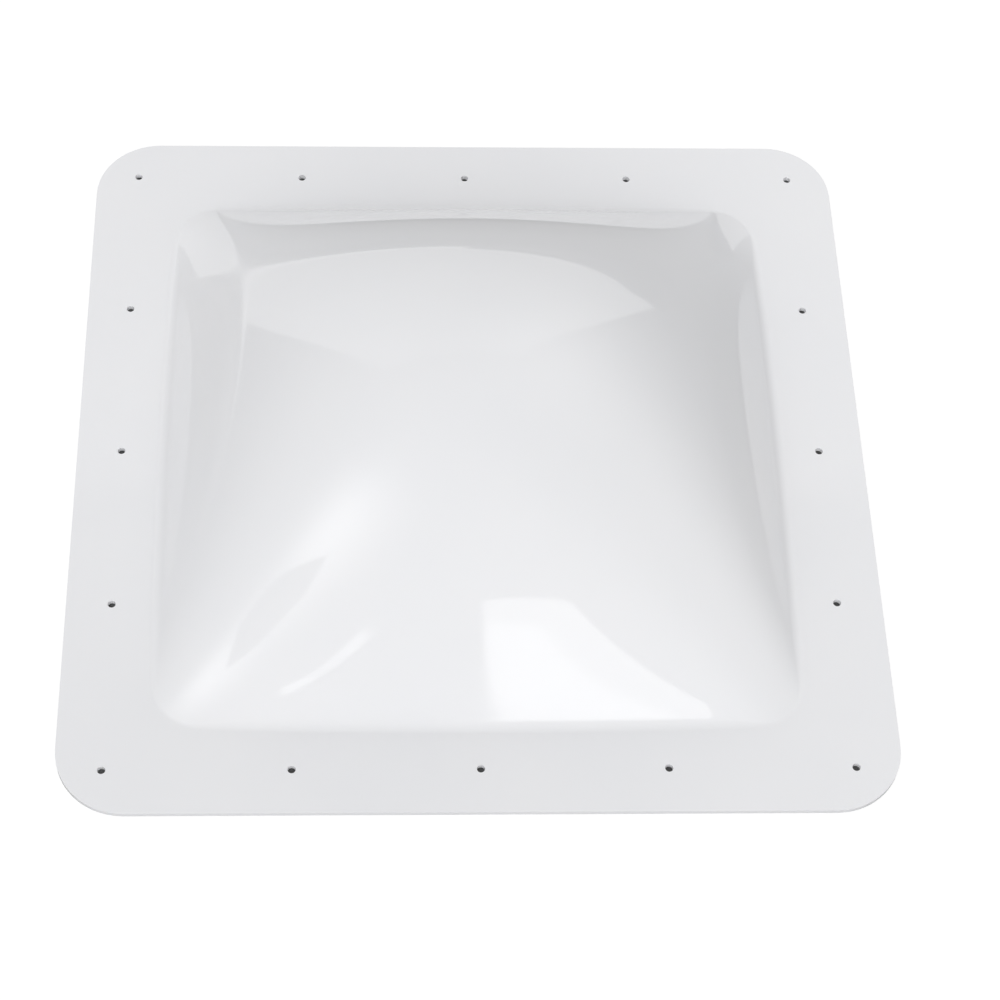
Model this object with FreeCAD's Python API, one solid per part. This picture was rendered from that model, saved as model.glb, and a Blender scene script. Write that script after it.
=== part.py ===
import FreeCAD, Part
import math
import os

# One-piece roof skylight: a square flange and a free-blown dome, formed from a single plastic sheet.
# The frame has +Z up, with its origin at the middle of the flange's underside.

# Driving dimensions in millimetres
opening_size = 355.6            # side of the square roof opening, which is also the dome's side
flange_width = 50.8             # from the dome's foot to the flange's edge
flange_corner_radius = 38.1
dome_corner_radius = 25.4       # plan radius of the dome's foot at its corners
dome_rise = 108.0               # from the flange's top face to the outside of the crown
sheet_thickness = 3.2           # the flange keeps the sheet's own thickness
crown_thickness = 2.2           # the blown wall stretches and thins towards the crown
foot_radius = 3.0               # hollow round along the dome's foot, left by the clamp ring's edge
edge_break = 0.5                # small chamfer on the flange's routed edges
hole_diameter = 4.4
hole_inset = 25.4               # from the flange's edge to the hole's centre
holes_per_side = 5              # both corner holes included

# Fineness of the model, not sizes of the product
wave_count = 8                  # terms in a skin's height formula
fit_samples = 60                # points on the foot that the formula is fitted to
quarter_steps = 18              # steps between points on a curve along a quarter of the foot
bend_curves = 4                 # curves that the bend is lofted through
wall_steps = 32                 # steps between points on each side of the wall's surface
seam_tolerance = 0.05           # between faces when they are sewn together

half_opening = opening_size / 2
half_flange = half_opening + flange_width


def solve(rows, values):
    """Solution of a small set of linear equations, by elimination with pivots."""
    size = len(values)
    table = [list(row) + [value] for row, value in zip(rows, values)]
    for step in range(size):
        pivot = max(range(step, size), key=lambda index: abs(table[index][step]))
        table[step], table[pivot] = table[pivot], table[step]
        for index in range(step + 1, size):
            share = table[index][step] / table[step][step]
            table[index] = [entry - share * top for entry, top in zip(table[index], table[step])]
    answer = [0.0] * size
    for step in reversed(range(size)):
        known = sum(table[step][index] * answer[index] for index in range(step + 1, size))
        answer[step] = (table[step][size] - known) / table[step][step]
    return answer


def quarter_angles(quarter):
    """Angles from the middle of one side to the next side's, closer together round the corner."""
    angles = []
    for index in range(quarter_steps + 1):
        share = 2 * index / quarter_steps - 1
        angles.append(math.pi / 2 * quarter + math.pi / 4 * (1 + (share + share ** 3) / 2))
    return angles


def curve_through(points):
    """A smooth curve through a row of points."""
    curve = Part.BSplineCurve()
    curve.interpolate(Points=points, Parameters=[index for index in range(len(points))])
    return Part.Wire(curve.toShape())


class Skin:
    """One face of the blown sheet, from its bend at the flange up to the crown.

    Air pressure under a soft sheet that is clamped round its edge gives it the form of a
    stretched membrane: a round bowl, less the waves that the square clamp forces on it.
    """

    def __init__(self, half_side, corner_radius, foot_height, rise, bend_radius):
        self.half_side = half_side
        self.corner_radius = corner_radius
        self.foot_height = foot_height
        self.rise = rise
        self.bend_radius = bend_radius
        self.waves = self.fit_waves()

    def foot_distance(self, angle):
        """Distance from the centre to the foot, a rounded square, at an angle in plan."""
        across = max(abs(math.cos(angle)), abs(math.sin(angle)))
        along = min(abs(math.cos(angle)), abs(math.sin(angle)))
        corner_centre = self.half_side - self.corner_radius
        straight = self.half_side / across
        if straight * along <= corner_centre:
            return straight
        middle = corner_centre * (across + along)
        return middle + math.sqrt(middle ** 2 + self.corner_radius ** 2 - 2 * corner_centre ** 2)

    def fit_waves(self):
        """Strengths of the waves that bring the height to nothing all along the foot."""
        samples = []
        for index in range(fit_samples):
            angle = math.pi / 4 * index / (fit_samples - 1)
            distance = self.foot_distance(angle) / self.half_side
            wave = [distance ** (4 * k) * math.cos(4 * k * angle) for k in range(wave_count)]
            samples.append((wave, distance ** 2))
        rows = [[sum(wave[i] * wave[j] for wave, bowl in samples) for j in range(wave_count)]
                for i in range(wave_count)]
        values = [sum(wave[i] * bowl for wave, bowl in samples) for i in range(wave_count)]
        return solve(rows, values)

    def height(self, distance, angle):
        """Height of the plain membrane above its foot, at a place in plan."""
        share = distance / self.half_side
        fullness = -share ** 2
        for k, strength in enumerate(self.waves):
            fullness += strength * share ** (4 * k) * math.cos(4 * k * angle)
        return self.rise * fullness / self.waves[0]

    def foot_slopes(self, angle):
        """Slopes of the membrane at the foot: outward from the centre, and the steepest."""
        distance = self.foot_distance(angle)
        step = 0.001
        outward = (self.height(distance, angle) - self.height(distance + step, angle)) / step
        turn = step / distance
        sideways = (self.height(distance, angle) - self.height(distance, angle + turn)) / step
        return outward, math.hypot(outward, sideways)

    def bend_reach(self, angle):
        """Half of the bend's height and half of its width, along a line from the centre."""
        outward, steepest = self.foot_slopes(angle)
        half_height = self.bend_radius * steepest ** 2 / 2
        return half_height, half_height / outward

    def point(self, distance, angle):
        """A point on the skin, where a parabola rounds the bend between wall and flange."""
        height = self.height(distance, angle)
        half_bend = self.bend_reach(angle)[0]
        if height < half_bend:
            height = max(height + half_bend, 0) ** 2 / (4 * half_bend)
        return FreeCAD.Vector(distance * math.cos(angle), distance * math.sin(angle),
                              self.foot_height + height)

    def bend_curve(self, quarter, share):
        """A curve along a quarter of the foot: share 0 is on the flat flange, 1 is on the wall."""
        points = []
        for angle in quarter_angles(quarter):
            half_width = self.bend_reach(angle)[1]
            distance = self.foot_distance(angle) + half_width * (1 - 2 * share)
            point = self.point(distance, angle)
            if share == 0:
                point.z = self.foot_height
            points.append(point)
        return curve_through(points)

    def rim(self):
        """The outline on the flange where the bend begins."""
        return Part.Wire([self.bend_curve(quarter, 0) for quarter in range(4)])

    def wall(self):
        """The face above the bend: a smooth surface over a square, trimmed where the bend ends."""
        places = [self.half_side * (2 * index / wall_steps - 1) for index in range(wall_steps + 1)]
        grid = []
        for x in places:
            heights = [self.height(math.hypot(x, y), math.atan2(y, x)) for y in places]
            grid.append([FreeCAD.Vector(x, y, self.foot_height + height)
                         for y, height in zip(places, heights)])
        surface = Part.BSplineSurface()
        surface.interpolate(grid)
        face = Part.Face(surface, Part.Wire([self.bend_curve(quarter, 1) for quarter in range(4)]))
        face.validate()
        return face

    def faces(self):
        """The skin's faces: the wall with the crown, and a quarter of the bend at each corner."""
        faces = [self.wall()]
        for quarter in range(4):
            curves = [self.bend_curve(quarter, index / (bend_curves - 1)) for index in range(bend_curves)]
            faces += Part.makeLoft(curves).Faces
        return faces


def outer_skin():
    """The weather side, which starts on the flange's top face."""
    return Skin(half_opening, dome_corner_radius, sheet_thickness, dome_rise, foot_radius)


def inner_skin(outer):
    """The hollow side: set in so that the wall starts at the sheet's own thickness.

    Its corners are tighter by two insets, because the wall is less steep there.
    """
    inset = sheet_thickness * math.tan(math.atan(outer.foot_slopes(0)[1]) / 2)
    return Skin(half_opening - inset, dome_corner_radius - 2 * inset, 0,
                sheet_thickness + dome_rise - crown_thickness, foot_radius + sheet_thickness)


def flange_outline(level):
    """The flange's rounded square at a level."""
    straight = half_flange - flange_corner_radius
    edges = []
    for quarter in range(4):
        turn = FreeCAD.Rotation(FreeCAD.Vector(0, 0, 1), 90 * quarter)
        side_start = turn.multVec(FreeCAD.Vector(half_flange, -straight, level))
        side_end = turn.multVec(FreeCAD.Vector(half_flange, straight, level))
        corner = turn.multVec(FreeCAD.Vector(straight, straight, level))
        next_start = turn.multVec(FreeCAD.Vector(straight, half_flange, level))
        outward = turn.multVec(FreeCAD.Vector(1, 1, 0)).normalize()
        edges.append(Part.makeLine(side_start, side_end))
        edges.append(Part.Arc(side_end, corner + outward * flange_corner_radius, next_start).toShape())
    return Part.Wire(edges)


def flange_face(level, inner_rim):
    """A flat side of the flange, with its middle open where the dome starts."""
    outlines = Part.Compound([flange_outline(level), inner_rim])
    return Part.makeFace(outlines, "Part::FaceMakerBullseye")


def rim_edges(solid):
    """The edges that run round the outside of the flange's two flat sides."""
    found = []
    for edge in solid.Edges:
        middle = edge.valueAt((edge.FirstParameter + edge.LastParameter) / 2)
        reach = max(abs(middle.x), abs(middle.y))
        if edge.BoundBox.ZLength < edge_break and reach > half_flange - flange_width / 2:
            found.append(edge)
    return found


def screw_holes():
    """Drills for the screw holes, evenly spaced on a square round the flange."""
    reach = half_flange - hole_inset
    steps = [reach * (2 * index / (holes_per_side - 1) - 1) for index in range(holes_per_side)]
    places = [(x, y) for x in steps for y in steps if max(abs(x), abs(y)) > reach - 0.001]
    return [Part.makeCylinder(hole_diameter / 2, 3 * sheet_thickness,
                              FreeCAD.Vector(x, y, -sheet_thickness)) for x, y in places]


def skylight():
    """The whole skylight as one closed solid."""
    outer = outer_skin()
    inner = inner_skin(outer)
    faces = outer.faces() + inner.faces()
    faces.append(flange_face(sheet_thickness, outer.rim()))
    faces.append(flange_face(0, inner.rim()))
    faces += flange_outline(0).extrude(FreeCAD.Vector(0, 0, sheet_thickness)).Faces
    sheet = Part.Compound(faces)
    sheet.sewShape(seam_tolerance)
    body = Part.makeSolid(sheet.Shells[0])
    if body.Orientation == "Reversed":
        body = Part.makeSolid(sheet.Shells[0].reversed())
    body = body.makeChamfer(edge_break, rim_edges(body))
    return body.cut(screw_holes()).Solids[0]


os.makedirs("parts", exist_ok=True)
dome = skylight()
dome.exportStep("parts/skylight_dome.step")
print("skylight_dome", "closed and valid:", dome.isClosed() and dome.isValid(),
      "volume", round(dome.Volume / 1000, 1), "cm3, box", dome.optimalBoundingBox())
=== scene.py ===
# %% [markdown]
# A roof skylight in one sheet
#
# This lesson dresses a caravan's roof skylight. The real one is a single sheet of white opal
# plastic: it is clamped round a square ring, warmed until it is soft, and blown up by air into
# a pillow-shaped dome. The edge that stays flat is the flange, which is trimmed and drilled.
# The exact solid comes from the CAD model, so the lesson starts by loading that as a frame.

# %% Load the frame
import bmesh
import bpy
import math
from mathutils import Matrix, Vector


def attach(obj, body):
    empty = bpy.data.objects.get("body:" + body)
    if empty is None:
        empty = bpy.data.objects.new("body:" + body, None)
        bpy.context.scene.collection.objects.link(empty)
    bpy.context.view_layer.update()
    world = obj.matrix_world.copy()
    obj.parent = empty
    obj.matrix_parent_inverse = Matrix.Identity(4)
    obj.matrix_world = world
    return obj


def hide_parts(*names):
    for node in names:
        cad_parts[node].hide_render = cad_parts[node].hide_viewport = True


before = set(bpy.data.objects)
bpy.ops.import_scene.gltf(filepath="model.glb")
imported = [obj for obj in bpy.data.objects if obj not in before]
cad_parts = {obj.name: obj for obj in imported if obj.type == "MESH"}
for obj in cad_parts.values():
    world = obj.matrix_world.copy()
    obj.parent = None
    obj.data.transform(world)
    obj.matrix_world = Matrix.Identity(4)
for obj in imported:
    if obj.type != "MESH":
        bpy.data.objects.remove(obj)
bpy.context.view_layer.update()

# %% [markdown]
# Sizes of the sheet
#
# All lengths are in metres. The dome's foot is a rounded square as large as the roof opening,
# and the flange runs 2 inches further out. They are the CAD model's own sizes, so the dressed
# piece lies where the solid does. Only two differ a little: the bend at the foot is rounder,
# because warm plastic doesn't follow a clamp ring closely, and the broken edges are narrower.

# %% Name the sizes
half_opening = 0.1778
half_flange = 0.2286
flange_corner_radius = 0.0381
foot_corner_radius = 0.0254
dome_rise = 0.108
sheet_thickness = 0.0032
crown_thickness = 0.0022
foot_radius = 0.007
edge_break = 0.0004
hole_radius = 0.0022
hole_reach = 0.2032
print("flange", 2 * half_flange, "m square, dome", dome_rise, "m high over it")


# %% [markdown]
# The form of blown plastic
#
# Air presses the soft sheet evenly, as it does a soap film, so its height follows the formula
# of a stretched membrane: a round bowl, less a few waves that bring it down to nothing along
# the square clamp. The waves' strengths are found by least squares along an eighth of the
# foot. Sculpting such a form by eye would leave dents, and every dent shows in a glossy skin,
# so here the heights are worked out.

# %% Work out the membrane
def rounded_square(angle, half_side, radius):
    """Distance from the centre to a rounded square's outline, at an angle in plan."""
    across = max(abs(math.cos(angle)), abs(math.sin(angle)))
    along = min(abs(math.cos(angle)), abs(math.sin(angle)))
    corner = half_side - radius
    if half_side / across * along <= corner:
        return half_side / across
    middle = corner * (across + along)
    return middle + math.sqrt(middle ** 2 + radius ** 2 - 2 * corner ** 2)


def foot_distance(angle):
    """Distance from the centre to the dome's foot, at an angle in plan."""
    return rounded_square(angle, half_opening, foot_corner_radius)


def solve(rows, values):
    """Solution of a few linear equations, by elimination."""
    table = [list(row) + [value] for row, value in zip(rows, values)]
    size = len(values)
    for step in range(size):
        pivot = max(range(step, size), key=lambda index: abs(table[index][step]))
        table[step], table[pivot] = table[pivot], table[step]
        for index in range(size):
            if index != step:
                share = table[index][step] / table[step][step]
                table[index] = [entry - share * top for entry, top in zip(table[index], table[step])]
    return [table[index][size] / table[index][index] for index in range(size)]


wave_count = 8
sample_count = 60
samples = []
for index in range(sample_count):
    angle = math.pi / 4 * index / (sample_count - 1)
    share = foot_distance(angle) / half_opening
    samples.append(([share ** (4 * k) * math.cos(4 * k * angle) for k in range(wave_count)], share ** 2))
rows = [[sum(wave[i] * wave[j] for wave, bowl in samples) for j in range(wave_count)]
        for i in range(wave_count)]
waves = solve(rows, [sum(wave[i] * bowl for wave, bowl in samples) for i in range(wave_count)])
print("strengths of the waves:", [round(strength, 5) for strength in waves])


def membrane_height(distance, angle):
    """Height of the blown sheet above its foot."""
    share = distance / half_opening
    fullness = -share ** 2
    for k, strength in enumerate(waves):
        fullness += strength * share ** (4 * k) * math.cos(4 * k * angle)
    return dome_rise * fullness / waves[0]


def bend_reach(angle):
    """Half the height and half the width of the round bend at the foot, at an angle in plan."""
    distance = foot_distance(angle)
    step = 0.000001
    turn = step / distance
    outward = (membrane_height(distance, angle) - membrane_height(distance + step, angle)) / step
    sideways = (membrane_height(distance, angle) - membrane_height(distance, angle + turn)) / step
    half_height = foot_radius * (outward ** 2 + sideways ** 2) / 2
    return half_height, half_height / outward


def sheet_height(distance, angle):
    """Height of the sheet's outer face over the roof, with the bend rounded by a parabola."""
    half_bend, half_width = bend_reach(angle)
    if distance >= foot_distance(angle) + half_width:
        return sheet_thickness
    height = membrane_height(distance, angle)
    if height < half_bend:
        height = max(height + half_bend, 0) ** 2 / (4 * half_bend)
    return sheet_thickness + height


# %% [markdown]
# Lay out the mesh
#
# The sheet starts as a square grid over the middle, with its rows set closer together towards
# its border, where the form turns faster. The border is then extruded outwards: over the
# wall, across the bend, over a hair's breadth of flat flange, and out to the flange's edge.
# The narrow flat ring keeps the bend's shading from creeping over the flange. Grid and rings
# are all four-sided faces, with no pole at the crown, so the gloss stays even. Each new border
# is set out along rays from the centre, on the rounded square that it belongs to.

# %% Helpers for borders
def plan_place(vertex):
    """A vertex's distance from the centre and its angle in plan."""
    return math.hypot(vertex.co.x, vertex.co.y), math.atan2(vertex.co.y, vertex.co.x)


def select_border(mesh):
    """Selects only the edges that have a face on one side."""
    bpy.ops.mesh.select_all(action="DESELECT")
    mesh_edit = bmesh.from_edit_mesh(mesh)
    for edge in mesh_edit.edges:
        if len(edge.link_faces) == 1:
            edge.select_set(True)
    mesh_edit.select_flush_mode()
    bmesh.update_edit_mesh(mesh)


def extrude_border(mesh, distance_at, cuts):
    """Extrudes the border to a new distance from the centre and cuts the new ring."""
    select_border(mesh)
    bpy.ops.mesh.extrude_edges_move()
    mesh_edit = bmesh.from_edit_mesh(mesh)
    moved = {vertex for vertex in mesh_edit.verts if vertex.select}
    for vertex in moved:
        angle = plan_place(vertex)[1]
        vertex.co.x = distance_at(angle) * math.cos(angle)
        vertex.co.y = distance_at(angle) * math.sin(angle)
    bmesh.update_edit_mesh(mesh)
    if cuts:
        for edge in mesh_edit.edges:
            edge.select_set(len(moved.intersection(edge.verts)) == 1)
        bmesh.update_edit_mesh(mesh)
        bpy.ops.mesh.subdivide_edgering(number_cuts=cuts, interpolation="LINEAR", smoothness=0)


# %% Grid and rings
bpy.ops.object.select_all(action="DESELECT")
rows_across = 72
half_middle = 0.1
bpy.ops.mesh.primitive_grid_add(x_subdivisions=rows_across, y_subdivisions=rows_across,
                                size=2 * half_middle, location=(0, 0, 0))
sheet = bpy.context.active_object
sheet.name = "opal_sheet"
sheet.data.name = "opal_sheet"
spread = 0.25
for vertex in sheet.data.vertices:
    vertex.co.x *= 1 + spread * (1 - (vertex.co.x / half_middle) ** 2)
    vertex.co.y *= 1 + spread * (1 - (vertex.co.y / half_middle) ** 2)
bpy.ops.object.mode_set(mode="EDIT")
bpy.ops.mesh.select_mode(type="EDGE")

wall_cuts, bend_cuts, flange_cuts = 27, 11, 3
flat_strip = 0.0004
extrude_border(sheet.data, lambda angle: foot_distance(angle) - bend_reach(angle)[1], wall_cuts)
extrude_border(sheet.data, lambda angle: foot_distance(angle) + bend_reach(angle)[1], bend_cuts)
extrude_border(sheet.data, lambda angle: foot_distance(angle) + bend_reach(angle)[1] + flat_strip, 0)
extrude_border(sheet.data, lambda angle: rounded_square(angle, half_flange, flange_corner_radius),
               flange_cuts)
bpy.ops.object.mode_set(mode="OBJECT")
print("flat sheet:", len(sheet.data.polygons), "faces")

# %% [markdown]
# Blow the dome and give the sheet its wall
#
# Each vertex rises to the membrane's height. A Solidify modifier then adds the wall on the
# hollow side. Blown plastic thins as it stretches, so a vertex group carries how much of the
# flange's thickness is left: all of it at the foot, and about two thirds at the crown.

# %% Blow
for vertex in sheet.data.vertices:
    distance, angle = plan_place(vertex)
    vertex.co.z = sheet_height(distance, angle)
print("crown at", round(1000 * max(vertex.co.z for vertex in sheet.data.vertices), 2), "mm")

wall_group = sheet.vertex_groups.new(name="wall_left")
for vertex in sheet.data.vertices:
    rise_share = (vertex.co.z - sheet_thickness) / dome_rise
    left = 1 - rise_share * (1 - crown_thickness / sheet_thickness)
    wall_group.add([vertex.index], left, "REPLACE")
solidify = sheet.modifiers.new("wall", "SOLIDIFY")
solidify.thickness = sheet_thickness
solidify.offset = -1
solidify.vertex_group = wall_group.name
bpy.ops.object.modifier_apply(modifier=solidify.name)
print("thickness from", sheet_thickness, "m at the foot to", crown_thickness, "m at the crown")

# %% [markdown]
# Drill the flange
#
# Sixteen clearance holes for the roof screws stand at a four inch pitch, one inch in from the
# edge. One drill is made and copied, and a Boolean modifier cuts them all at once.

# %% Drill
bpy.ops.object.select_all(action="DESELECT")
steps = [hole_reach * share for share in (-1, -0.5, 0, 0.5, 1)]
hole_places = [(x, y) for x in steps for y in steps if max(abs(x), abs(y)) == hole_reach]
drill_length = 0.02
bpy.ops.mesh.primitive_cylinder_add(vertices=32, radius=hole_radius, depth=drill_length)
drill = bpy.context.active_object
drill.name = "drill"
for x, y in hole_places[1:]:
    copy = drill.copy()
    copy.data = drill.data.copy()
    copy.location = (x, y, 0)
    bpy.context.collection.objects.link(copy)
    copy.select_set(True)
drill.location = (*hole_places[0], 0)
bpy.ops.object.join()
bpy.ops.object.transform_apply(location=True)
bpy.ops.object.select_all(action="DESELECT")
sheet.select_set(True)
bpy.context.view_layer.objects.active = sheet
cut = sheet.modifiers.new("holes", "BOOLEAN")
cut.operation = "DIFFERENCE"
cut.solver = "EXACT"
cut.object = drill
bpy.ops.object.modifier_apply(modifier=cut.name)
bpy.data.objects.remove(drill)
print(len(hole_places), "holes drilled;", len(sheet.data.polygons), "faces")

# %% [markdown]
# Break the sharp edges
#
# A router trims the flange and the drill cuts the holes, and both leave a crisp edge that is
# just broken by hand. A narrow bevel on every sharp edge catches a thin line of light there.

# %% Break the edges
bevel = sheet.modifiers.new("edge_break", "BEVEL")
bevel.width = edge_break
bevel.segments = 2
bevel.limit_method = "ANGLE"
bevel.angle_limit = math.radians(60)
bevel.harden_normals = True
bpy.ops.object.shade_smooth_by_angle(angle=math.radians(50))
bpy.ops.object.modifier_apply(modifier=bevel.name)
print("finished sheet:", len(sheet.data.polygons), "faces")
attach(sheet, "root")
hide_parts("skylight_dome")


# %% [markdown]
# White opal plastic
#
# The sheet is glossy and slightly milky. Light enters it a millimetre or two deep before it
# comes out again, which the subsurface part stands for. The colour is nearly even, with a
# faint cloudiness. The gloss carries what blown plastic really has: very shallow ripples left
# by the soft stage, and fine wiping marks that spread the shine a little.

# %% Make the plastic
def new_material(name):
    """An empty node material, its nodes and its links."""
    material = bpy.data.materials.new(name)
    material.use_nodes = True
    material.node_tree.nodes.clear()
    return material, material.node_tree.nodes, material.node_tree.links


opal, nodes, links = new_material("opal_plastic")
output = nodes.new("ShaderNodeOutputMaterial")
skin = nodes.new("ShaderNodeBsdfPrincipled")
links.new(skin.outputs["BSDF"], output.inputs["Surface"])
skin.inputs["IOR"].default_value = 1.49
skin.inputs["Subsurface Weight"].default_value = 0.06
skin.inputs["Subsurface Radius"].default_value = (1.0, 1.0, 1.1)
skin.inputs["Subsurface Scale"].default_value = 0.0015

place = nodes.new("ShaderNodeTexCoord")
cloud = nodes.new("ShaderNodeTexNoise")
cloud.inputs["Scale"].default_value = 9
cloud.inputs["Detail"].default_value = 3
tint = nodes.new("ShaderNodeValToRGB")
tint.color_ramp.elements[0].position = 0.3
tint.color_ramp.elements[0].color = (0.85, 0.855, 0.875, 1)
tint.color_ramp.elements[1].position = 0.7
tint.color_ramp.elements[1].color = (0.87, 0.872, 0.888, 1)
links.new(place.outputs["Object"], cloud.inputs["Vector"])
links.new(cloud.outputs["Fac"], tint.inputs["Fac"])
links.new(tint.outputs["Color"], skin.inputs["Base Color"])

wiping = nodes.new("ShaderNodeMapping")
wiping.inputs["Scale"].default_value = (40, 400, 400)
wiping.inputs["Rotation"].default_value = (0, 0, math.radians(35))
marks = nodes.new("ShaderNodeTexNoise")
marks.inputs["Scale"].default_value = 1
marks.inputs["Detail"].default_value = 4
gloss = nodes.new("ShaderNodeMapRange")
gloss.inputs["From Min"].default_value = 0.35
gloss.inputs["From Max"].default_value = 0.75
gloss.inputs["To Min"].default_value = 0.035
gloss.inputs["To Max"].default_value = 0.075
links.new(place.outputs["Object"], wiping.inputs["Vector"])
links.new(wiping.outputs["Vector"], marks.inputs["Vector"])
links.new(marks.outputs["Fac"], gloss.inputs["Value"])
links.new(gloss.outputs["Result"], skin.inputs["Roughness"])

ripple = nodes.new("ShaderNodeTexNoise")
ripple.inputs["Scale"].default_value = 22
ripple.inputs["Detail"].default_value = 1
bump = nodes.new("ShaderNodeBump")
bump.inputs["Strength"].default_value = 0.12
bump.inputs["Distance"].default_value = 0.0004
links.new(place.outputs["Object"], ripple.inputs["Vector"])
links.new(ripple.outputs["Fac"], bump.inputs["Height"])
links.new(bump.outputs["Normal"], skin.inputs["Normal"])
sheet.data.materials.clear()
sheet.data.materials.append(opal)
print("materials on the sheet:", [material.name for material in sheet.data.materials])

# %% [markdown]
# Floor
#
# The skylight lies on a pale floor, while the picture's ground is plain white. Its walls also
# mirror a darker bench top, which gives the dome its dark band along the foot. So the floor
# answers each kind of ray in its own way, through the Light Path node: it shows white with a
# soft shadow to the camera, mid grey to the light that bounces off it, and to every mirrored
# ray a glow that is a painted reflection of the bench. Under the flange the camera sees it
# painted dark, a painted shade that shows through the screw holes. The painted bench is
# darkest right next to the flange, where it carries a painted shadow, it is darker again
# further back and beside the back half of the dome, and the foot of the white wall begins
# behind it.

# %% Helpers for nodes
def join(tree, operation, first, second):
    """A Math node of two values, each a number or another node's output."""
    node = tree.nodes.new("ShaderNodeMath")
    node.operation = operation
    for place, value in enumerate((first, second)):
        if isinstance(value, (int, float)):
            node.inputs[place].default_value = value
        else:
            tree.links.new(value, node.inputs[place])
    return node.outputs[0]


def ramp(tree, value, low, high):
    """Runs from 0 at the low value to 1 at the high one, and stays level outside them."""
    node = tree.nodes.new("ShaderNodeMapRange")
    tree.links.new(value, node.inputs["Value"])
    node.inputs["From Min"].default_value = low
    node.inputs["From Max"].default_value = high
    return node.outputs["Result"]


def blend(tree, share, first, second):
    """A Mix Shader node: share 0 gives the first shader and share 1 gives the second."""
    node = tree.nodes.new("ShaderNodeMixShader")
    tree.links.new(share, node.inputs["Fac"])
    tree.links.new(first, node.inputs[1])
    tree.links.new(second, node.inputs[2])
    return node.outputs["Shader"]


def glow(tree, strength):
    """A white Emission node, with a number or another node's output as its strength."""
    node = tree.nodes.new("ShaderNodeEmission")
    if isinstance(strength, (int, float)):
        node.inputs["Strength"].default_value = strength
    else:
        tree.links.new(strength, node.inputs["Strength"])
    return node.outputs["Emission"]


def matt(tree, level):
    """A grey Diffuse BSDF node."""
    node = tree.nodes.new("ShaderNodeBsdfDiffuse")
    node.inputs["Color"].default_value = (level, level, level, 1)
    return node.outputs["BSDF"]


# %% Make the floor
bpy.ops.object.select_all(action="DESELECT")
floor_side, floor_gap = 12, 0.0003
bpy.ops.mesh.primitive_plane_add(size=floor_side, location=(0, 0, -floor_gap))
floor = bpy.context.active_object
floor.name = "floor"
ground, nodes, links = new_material("ground")
tree = ground.node_tree
output = nodes.new("ShaderNodeOutputMaterial")
path = nodes.new("ShaderNodeLightPath")
spot = nodes.new("ShaderNodeTexCoord")
axes = nodes.new("ShaderNodeSeparateXYZ")
links.new(spot.outputs["Object"], axes.inputs["Vector"])
east, north = axes.outputs["X"], axes.outputs["Y"]
from_middle = join(tree, "ABSOLUTE", east, 0)
reach = join(tree, "MAXIMUM", from_middle, join(tree, "ABSOLUTE", north, 0))

bench_end = 4
# The bench's grey by distance; the dark first level, right beside the flange, is a painted shadow.
bench_and_shadow_levels = ((0.232, 0.18), (0.26, 0.30), (0.45, 0.23), (1.0, 0.38), (3.5, 0.30))
bench = nodes.new("ShaderNodeValToRGB")
for place, level in bench_and_shadow_levels:
    stop = bench.color_ramp.elements.new(place / bench_end)
    stop.color = (level, level, level, 1)
bench.color_ramp.elements.remove(bench.color_ramp.elements[0])
links.new(join(tree, "DIVIDE", reach, bench_end), bench.inputs["Fac"])
back_depth, side_depth = 0.75, 0.6
back_shade = join(tree, "MULTIPLY", ramp(tree, north, 0.45, 0.85), back_depth)
bench_and_shade_level = join(tree, "MULTIPLY", bench.outputs["Color"], join(tree, "SUBTRACT", 1, back_shade))
beside = ramp(tree, join(tree, "SUBTRACT", from_middle, north), -0.1, 0.1)
beside = join(tree, "MULTIPLY", beside, ramp(tree, north, 0.02, 0.2))
side_shade = join(tree, "MULTIPLY", beside, ramp(tree, reach, 1.0, 0.5))
side_shade = join(tree, "MULTIPLY", side_shade, side_depth)
bench_and_shade_level = join(tree, "MULTIPLY", bench_and_shade_level, join(tree, "SUBTRACT", 1, side_shade))
print("bench levels by distance:", bench_and_shadow_levels)

# %% Draw the foot of the wall
wall_slant, wall_distance, wall_end = 0.9, 3.6, 0.15
far_line = join(tree, "SUBTRACT", north, join(tree, "MULTIPLY", east, wall_slant))
behind_bench = join(tree, "MULTIPLY", join(tree, "GREATER_THAN", far_line, wall_distance),
                    join(tree, "LESS_THAN", east, wall_end))
dim_foot, bright_foot = 0.7, 1.2
from_corner = join(tree, "ADD", north, join(tree, "MULTIPLY", east, 0.95))
wall_share = ramp(tree, from_corner, -0.4, 0.0)
wall_foot = join(tree, "ADD", join(tree, "MULTIPLY", wall_share, bright_foot - dim_foot), dim_foot)
mirrored = join(tree, "MAXIMUM", bench_and_shade_level, join(tree, "MULTIPLY", behind_bench, wall_foot))

# %% Answer each kind of ray
paper = nodes.new("ShaderNodeAddShader")
paper_matt, paper_glow = 0.45, 0.66
links.new(matt(tree, paper_matt), paper.inputs[0])
links.new(glow(tree, paper_glow), paper.inputs[1])
# Under the flange the camera sees a dark grey floor, a painted shade that shows through the screw holes.
hidden_reach, painted_shade_level, bounce_level = 0.215, 0.12, 0.55
painted_shade_under_flange = join(tree, "LESS_THAN", reach, hidden_reach)
to_camera = blend(tree, painted_shade_under_flange, paper.outputs["Shader"], matt(tree, painted_shade_level))
shown = blend(tree, path.outputs["Is Camera Ray"], matt(tree, bounce_level), to_camera)
# Mirrored rays see the floor glow with a painted reflection: the bench with its painted shadow and
# darker parts, and the wall's foot.
shown = blend(tree, path.outputs["Is Glossy Ray"], shown, glow(tree, mirrored))
side = nodes.new("ShaderNodeNewGeometry")
clear = nodes.new("ShaderNodeBsdfTransparent")
shown = blend(tree, side.outputs["Backfacing"], shown, clear.outputs["BSDF"])
links.new(shown, output.inputs["Surface"])
floor.data.materials.append(ground)
print("floor", [round(length, 1) for length in floor.dimensions])

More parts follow.
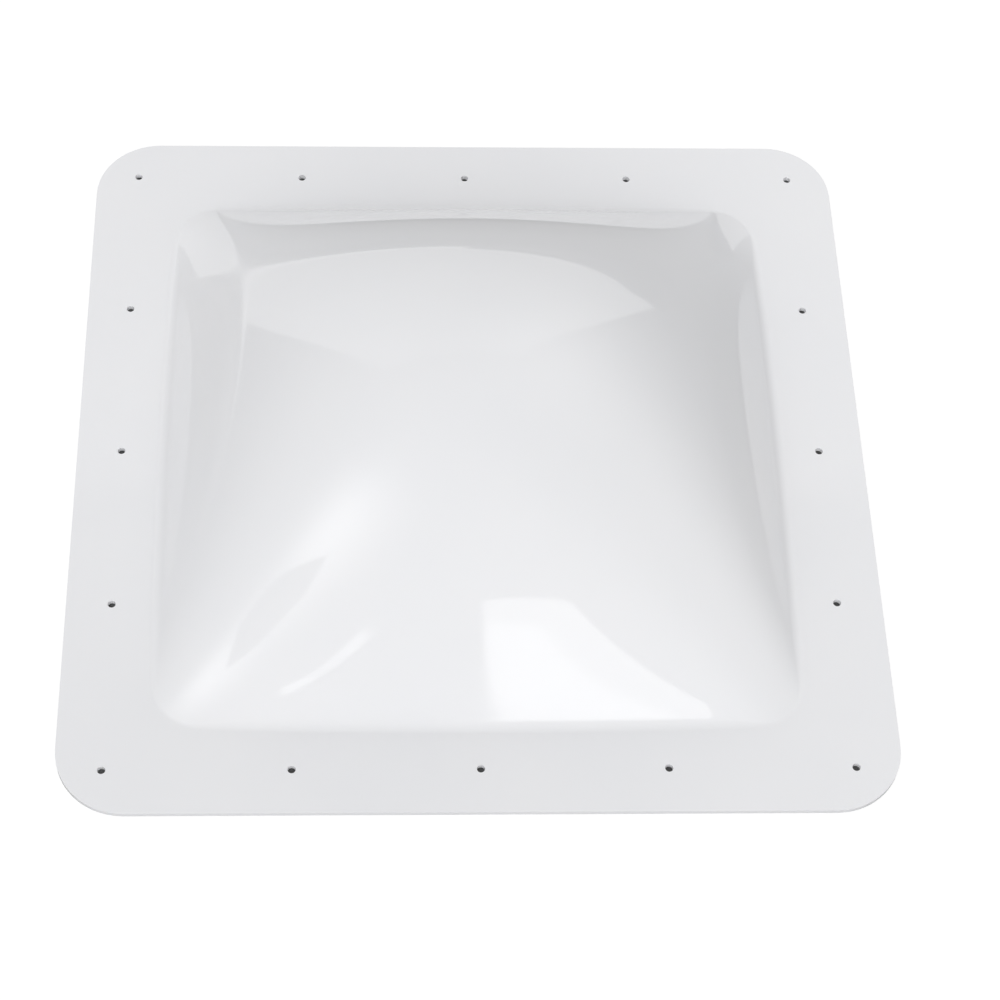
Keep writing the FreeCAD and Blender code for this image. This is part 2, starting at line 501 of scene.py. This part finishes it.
# %% [markdown]
# Light
#
# A room's light comes from everywhere, so the world gives all of it, as a few soft lobes: most
# from the front and the back, a little from the left. Lamps would do too, but they are
# mirrored as hard shapes that a real room doesn't have.
#
# A glossy dome also mirrors the room, and there the shapes matter: a white wall behind with
# nearly upright ends and a low stool before its right end, a lit window in front on the right,
# and a bright curtained window with a dark gable below it on the left. These are drawn in the
# world by direction, and only for mirrored rays, so that they shape the gloss and leave the
# level of the light alone. A straight-sided pane is what lies inside three or more planes
# through the skylight's centre, one for each of its sides.

# %% Start the world
world = bpy.data.worlds.new("room")
bpy.context.scene.world = world
world.use_nodes = True
room = world.node_tree
nodes, links = room.nodes, room.links
nodes.clear()
output = nodes.new("ShaderNodeOutputWorld")
direction = nodes.new("ShaderNodeTexCoord")
level_of = nodes.new("ShaderNodeSeparateXYZ")
links.new(direction.outputs["Generated"], level_of.inputs["Vector"])


def towards(azimuth, elevation):
    """Direction from the skylight: azimuth 0 is +Y and 90 is +X, in degrees."""
    turn, lift = math.radians(azimuth), math.radians(elevation)
    return Vector((math.sin(turn) * math.cos(lift), math.cos(turn) * math.cos(lift), math.sin(lift)))


def facing(aim):
    """How far a ray points along an aim: 1 straight along it and 0 square to it."""
    node = nodes.new("ShaderNodeVectorMath")
    node.operation = "DOT_PRODUCT"
    links.new(direction.outputs["Generated"], node.inputs[0])
    node.inputs[1].default_value = aim
    return node.outputs["Value"]


def lobe(azimuth, elevation, tightness):
    """A soft glow that is brightest in one direction."""
    return join(room, "POWER", join(room, "MAXIMUM", facing(towards(azimuth, elevation)), 0), tightness)


def pane(corners, blur):
    """1 inside a straight-sided shape seen in the room, given as directions clockwise."""
    inside = None
    for index, corner in enumerate(corners):
        edge = towards(*corners[index - 1]).cross(towards(*corner)).normalized()
        share = ramp(room, facing(edge), -blur, blur)
        inside = share if inside is None else join(room, "MULTIPLY", inside, share)
    return inside


# %% Light the room
def total(parts, start):
    """Adds up pairs of a node's output and its strength."""
    value = start
    for part, strength in parts:
        value = join(room, "ADD", value, join(room, "MULTIPLY", part, strength))
    return value


wide = 4
light_everywhere = 0.276
light_lobes = [(lobe(180, 25, wide), 1.035), (lobe(180, 50, wide), 0.877), (lobe(0, 25, wide), 1.04),
               (lobe(-90, 40, wide), 0.214), (lobe(-140, 30, wide), 0.337)]
light_level = total(light_lobes, light_everywhere)
print("soft lobes of light:", len(light_lobes))

# %% Draw what the gloss mirrors
soft = 10
shine = [(lobe(-45, 30, soft), 0.295), (lobe(-90, 15, soft), 0.19), (lobe(0, 75, soft), 0.14),
         (lobe(140, 30, soft), 0.67), (lobe(45, 45, soft), 1.21), (lobe(90, 15, soft), 1.41),
         (lobe(90, 45, soft), 0.11)]

crisp, fuzzy = 0.0015, 0.004
wall = pane([(-45.4, -20), (-45.4, 48.3), (33, 53.3), (36.5, 41), (38.8, 22), (43.2, 2), (43.2, -20)],
            fuzzy)
low_on_wall = join(room, "MULTIPLY", wall, ramp(room, level_of.outputs["Z"], 0.82, 0.3))
shine += [(wall, 0.384), (low_on_wall, 0.437)]
stool = pane([(1, -20), (1, -0.3), (9, 1.3), (24.8, 4.3), (34.1, 5.6), (42, 3), (43.5, -20)], fuzzy)

shine += [(lobe(-107, 50, 60), 1.28), (lobe(-122, 51, 40), 1.56), (lobe(-137, 49, 60), 0.30)]
gable = pane([(-132.2, 30), (-132.2, 45), (-124.5, 48.3), (-106, 40.9), (-106, 30)], crisp)

window_blur = 0.006
window = pane([(159.2, 0), (160.1, 37.3), (176.5, 35.1), (176.8, 0)], window_blur)
window_core = pane([(170, 0), (169, 30), (176.5, 29.3), (176.8, 0)], window_blur)
streak = pane([(-165.6, 34.5), (-166.8, 31), (-169.4, 28.6), (-168.8, 32)], fuzzy)
shine += [(window, 2.0), (window_core, 0.9), (streak, 2.0)]

mirror_level = total(shine, 0)
for dark in (stool, gable):
    mirror_level = join(room, "MULTIPLY", mirror_level, join(room, "SUBTRACT", 1, dark))
print("parts of the mirrored room:", len(shine), "bright, 2 dark")


# %% Join light and mirrored room
def sky(strength):
    """A white Background node, with another node's output as its strength."""
    node = nodes.new("ShaderNodeBackground")
    node.inputs["Color"].default_value = (1, 1, 1, 1)
    links.new(strength, node.inputs["Strength"])
    return node.outputs["Background"]


paper = nodes.new("ShaderNodeBackground")
paper.inputs["Color"].default_value = (1, 1, 1, 1)
path = nodes.new("ShaderNodeLightPath")
seen = blend(room, path.outputs["Is Glossy Ray"], sky(light_level), sky(mirror_level))
seen = blend(room, path.outputs["Is Camera Ray"], seen, paper.outputs["Background"])
links.new(seen, output.inputs["Surface"])
print("nodes in the world:", len(nodes))

# %% [markdown]
# Camera
#
# The camera's place comes from the flange's four straight edges and the sixteen holes, which
# lie on a known grid. It looks down at 58 degrees, with a slight turn and roll, through a long
# lens, from 1.37 m away. The picture's frame is a little to the right of the lens's middle,
# which the small shift gives. The camera's matrix is put together from three arrows: across
# the picture, up it, and back from the scene to the eye.

# %% Camera
camera_data = bpy.data.cameras.new("camera")
camera_data.sensor_width = 36
camera_data.lens = 85.81
camera_data.shift_x = 0.05
aim = Vector((-0.01334, -0.03157, 0))
eye_distance = 1.37326
camera = bpy.data.objects.new("camera", camera_data)
bpy.context.collection.objects.link(camera)
turn, lift, roll = math.radians(-3.851), math.radians(58.274), math.radians(3.269)
back = Vector((math.sin(turn) * math.cos(lift), -math.cos(turn) * math.cos(lift), math.sin(lift)))
level = Vector((0, 0, 1)).cross(back).normalized()
upright = back.cross(level)
across = math.cos(roll) * level + math.sin(roll) * upright
up = math.cos(roll) * upright - math.sin(roll) * level
eye = aim + eye_distance * back
camera.matrix_world = Matrix(((across.x, up.x, back.x, eye.x),
                              (across.y, up.y, back.y, eye.y),
                              (across.z, up.z, back.z, eye.z),
                              (0, 0, 0, 1)))
bpy.context.scene.camera = camera
bpy.context.scene.view_settings.view_transform = "Standard"
print("eye at", [round(value, 3) for value in eye])
